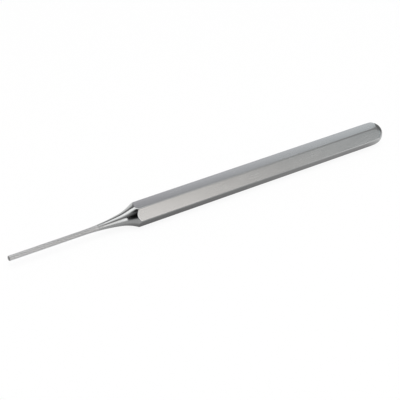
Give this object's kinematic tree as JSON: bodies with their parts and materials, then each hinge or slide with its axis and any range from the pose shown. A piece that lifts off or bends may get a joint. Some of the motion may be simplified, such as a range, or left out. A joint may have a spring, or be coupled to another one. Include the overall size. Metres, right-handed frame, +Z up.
{
  "type": "pin punch",
  "caption": "Hexagonal hand punch with a hollow turned flare, a slim ground drive pin and a domed striking head, for driving out pins.",
  "frame": {"origin": "on the flat that the punch rests on, halfway along its length", "axes": "+X along the punch from the tip of the pin to the striking face, +Z up from the resting flat"},
  "size_m": [0.15, 0.009, 0.008],
  "materials": {
    "plated_shank": "satin plated flats, polished flare",
    "ground_pin": "fine ground, matte"
  },
  "bodies": {
    "root": {"hex_shank": "plated_shank", "drive_pin": "ground_pin"}
  },
  "joints": []
}
